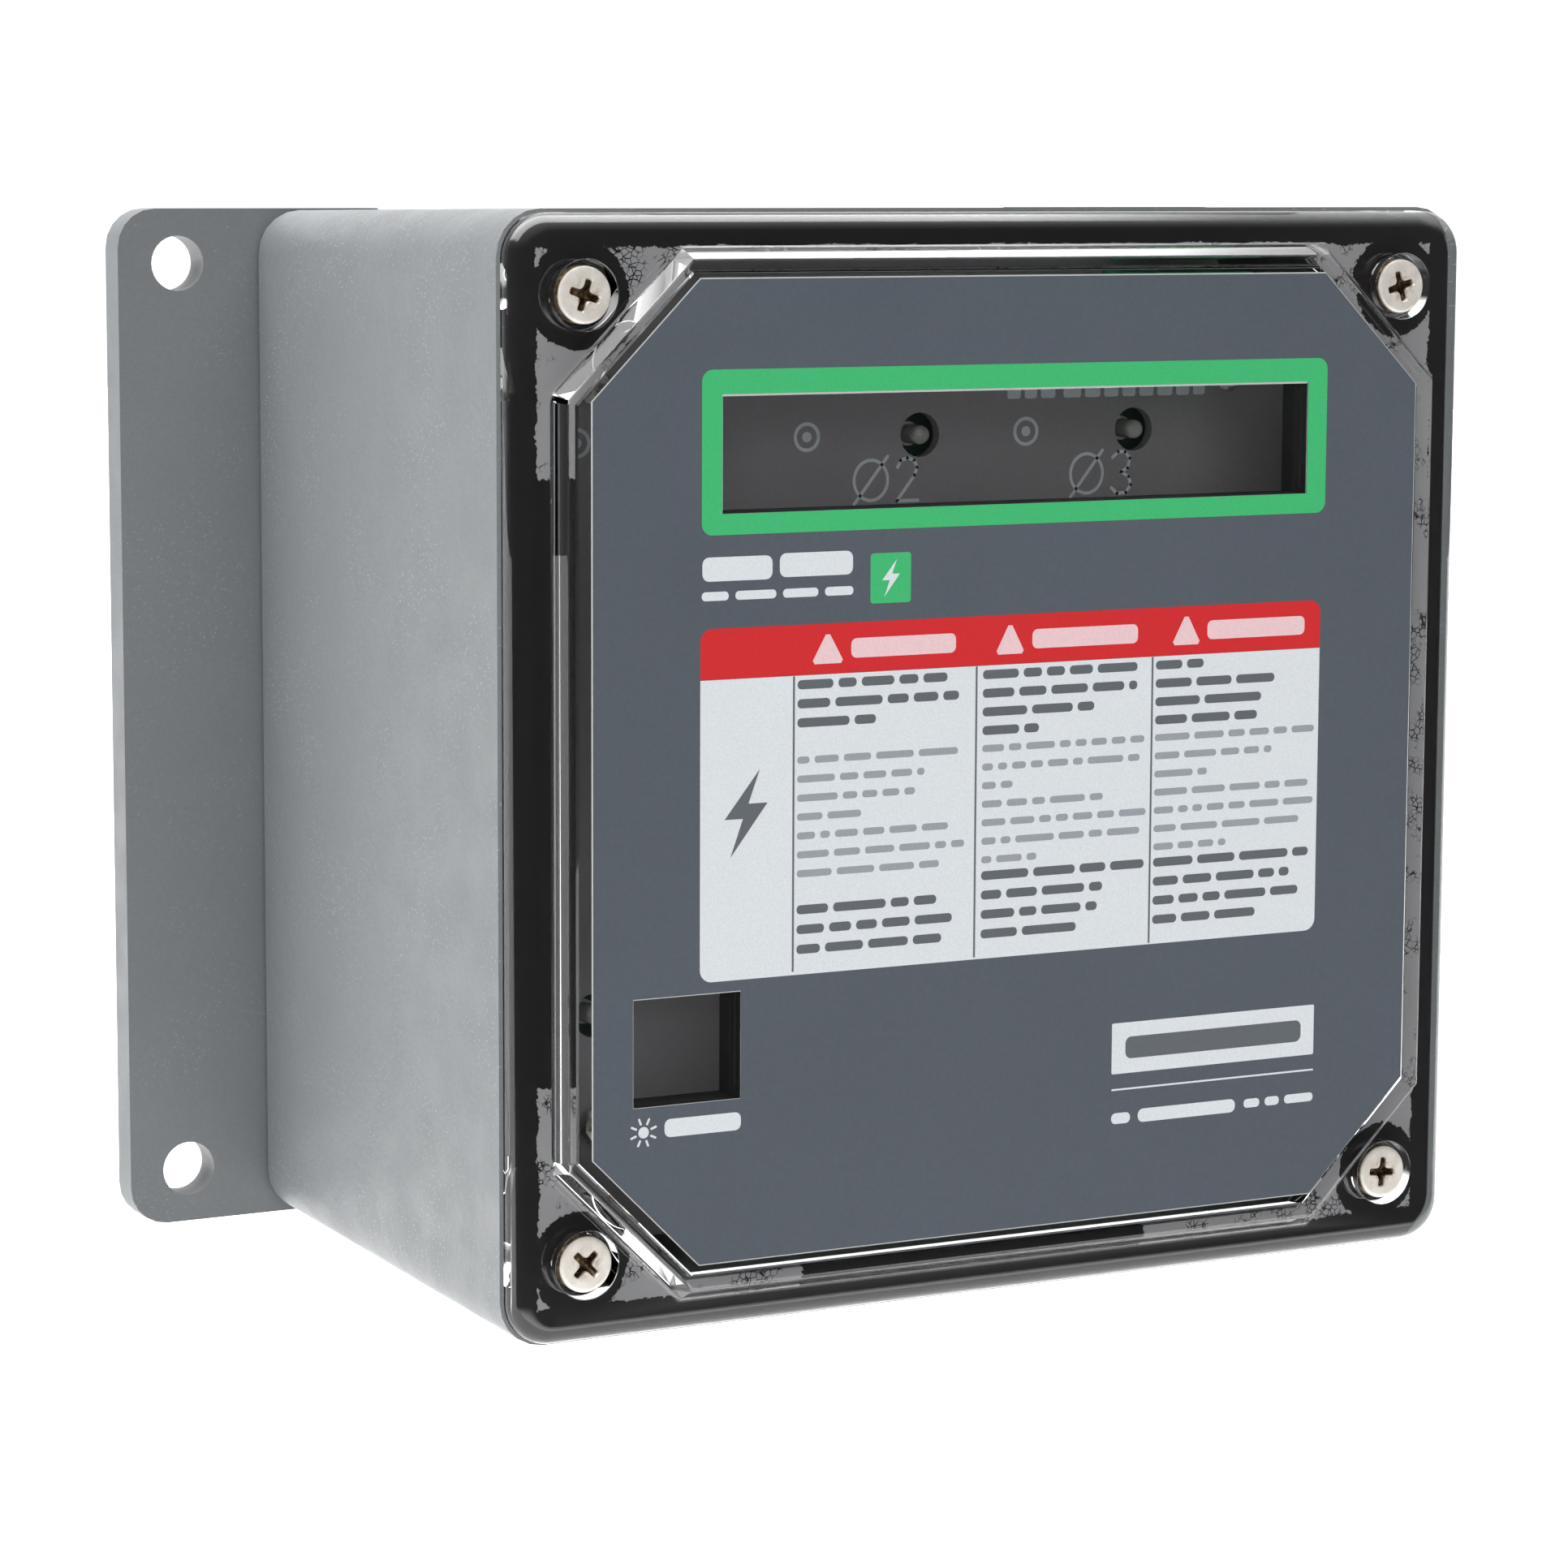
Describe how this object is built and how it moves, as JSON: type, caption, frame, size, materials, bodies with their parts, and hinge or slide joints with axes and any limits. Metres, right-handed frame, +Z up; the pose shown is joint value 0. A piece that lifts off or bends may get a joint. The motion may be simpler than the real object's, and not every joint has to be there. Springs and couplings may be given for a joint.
{
  "type": "surge protective device",
  "caption": "Wall-mounted surge protective device: grey square moulded box on mounting feet, clear screwed cover with a raised octagonal label, lamp windows and a side lead nipple.",
  "frame": {"origin": "centre of the wall plane, behind the middle of the box", "axes": "-Y out of the cover towards the viewer, +X to the right seen from the front, +Z up"},
  "size_m": [0.2084, 0.1082, 0.165],
  "materials": {
    "grey_moulding": "fine orange-peel moulding",
    "foot_moulding": "semi-gloss moulding",
    "clear_plastic": "polished clear polycarbonate",
    "gasket": "sheet elastomer",
    "label": "fine-grained printed overlay",
    "bright_metal": "bright plated",
    "brass": "machined",
    "black_plastic": "satin",
    "dead_front": "satin charcoal",
    "clear_lamp": "clear moulded lens",
    "board_green": "solder-masked laminate",
    "terminal_green": "moulded",
    "varistor_blue": "potted case",
    "nylon": "natural nylon",
    "ribbon_grey": "flat cable"
  },
  "bodies": {
    "base": {"alarm_relay": "black_plastic", "contact_header": "terminal_green", "cover_gasket": "gasket", "dead_front_plate": "dead_front", "enclosure_base": "grey_moulding", "foot_screw_1": "bright_metal", "foot_screw_2": "bright_metal", "foot_screw_3": "bright_metal", "foot_screw_4": "bright_metal", "indicator_board": "board_green", "lead_nipple": "bright_metal", "lead_tab_1": "brass", "lead_tab_2": "brass", "lead_tab_3": "brass", "lead_tab_4": "brass", "lead_tab_5": "brass", "main_board": "board_green", "mounting_foot_left": "foot_moulding", "mounting_foot_right": "foot_moulding", "nipple_locknut": "bright_metal", "nipple_seal": "gasket", "phase_lamp_1": "clear_lamp", "phase_lamp_2": "clear_lamp", "phase_lamp_3": "clear_lamp", "plate_pillar_1": "nylon", "plate_pillar_2": "nylon", "plate_pillar_3": "nylon", "plate_pillar_4": "nylon", "plate_screw_1": "bright_metal", "plate_screw_2": "bright_metal", "plate_screw_3": "bright_metal", "plate_screw_4": "bright_metal", "replace_lamp": "clear_lamp", "ribbon_link": "ribbon_grey", "thermal_fuse_1": "nylon", "thermal_fuse_2": "nylon", "thermal_fuse_3": "nylon", "thread_insert_1": "brass", "thread_insert_2": "brass", "thread_insert_3": "brass", "thread_insert_4": "brass", "varistor_block_1": "varistor_blue", "varistor_block_2": "varistor_blue", "varistor_block_3": "varistor_blue", "varistor_block_4": "varistor_blue"},
    "cover": {"cover": "clear_plastic", "cover_label": "label", "window_shroud_large": "black_plastic", "window_shroud_small": "black_plastic"},
    "contact_plug": {"contact_plug": "terminal_green"},
    "washer_1": {"retaining_washer_1": "nylon"},
    "screw_1": {"cover_screw_1": "bright_metal"},
    "washer_2": {"retaining_washer_2": "nylon"},
    "screw_2": {"cover_screw_2": "bright_metal"},
    "washer_3": {"retaining_washer_3": "nylon"},
    "screw_3": {"cover_screw_3": "bright_metal"},
    "washer_4": {"retaining_washer_4": "nylon"},
    "screw_4": {"cover_screw_4": "bright_metal"}
  },
  "joints": [
    {"name": "cover_lift", "type": "slide", "parent": "base", "child": "cover", "axis": [0, -1, 0], "range_m": [0, 0.06]},
    {"name": "screw_1_travel", "type": "slide", "parent": "cover", "child": "washer_1", "axis": [0, -1, 0], "range_m": [0, 0.0063]},
    {"name": "screw_1_turn", "type": "hinge", "parent": "washer_1", "child": "screw_1", "pos_m": [-0.0703, -0.1036, 0.0703], "axis": [0, -1, 0], "range_deg": [0, 3240]},
    {"name": "screw_2_travel", "type": "slide", "parent": "cover", "child": "washer_2", "axis": [0, -1, 0], "range_m": [0, 0.0063]},
    {"name": "screw_2_turn", "type": "hinge", "parent": "washer_2", "child": "screw_2", "pos_m": [0.0703, -0.1036, 0.0703], "axis": [0, -1, 0], "range_deg": [0, 3240]},
    {"name": "screw_3_travel", "type": "slide", "parent": "cover", "child": "washer_3", "axis": [0, -1, 0], "range_m": [0, 0.0063]},
    {"name": "screw_3_turn", "type": "hinge", "parent": "washer_3", "child": "screw_3", "pos_m": [0.0703, -0.1036, -0.0703], "axis": [0, -1, 0], "range_deg": [0, 3240]},
    {"name": "screw_4_travel", "type": "slide", "parent": "cover", "child": "washer_4", "axis": [0, -1, 0], "range_m": [0, 0.0063]},
    {"name": "screw_4_turn", "type": "hinge", "parent": "washer_4", "child": "screw_4", "pos_m": [-0.0703, -0.1036, -0.0703], "axis": [0, -1, 0], "range_deg": [0, 3240]},
    {"name": "contact_plug_pull", "type": "slide", "parent": "base", "child": "contact_plug", "axis": [0, -1, 0], "range_m": [0, 0.009]}
  ],
  "couplings": [
    {"joint": "screw_1_turn", "follows": "screw_1_travel", "rad_per_m": 8975.9},
    {"joint": "screw_2_turn", "follows": "screw_2_travel", "rad_per_m": 8975.9},
    {"joint": "screw_3_turn", "follows": "screw_3_travel", "rad_per_m": 8975.9},
    {"joint": "screw_4_turn", "follows": "screw_4_travel", "rad_per_m": 8975.9}
  ]
}
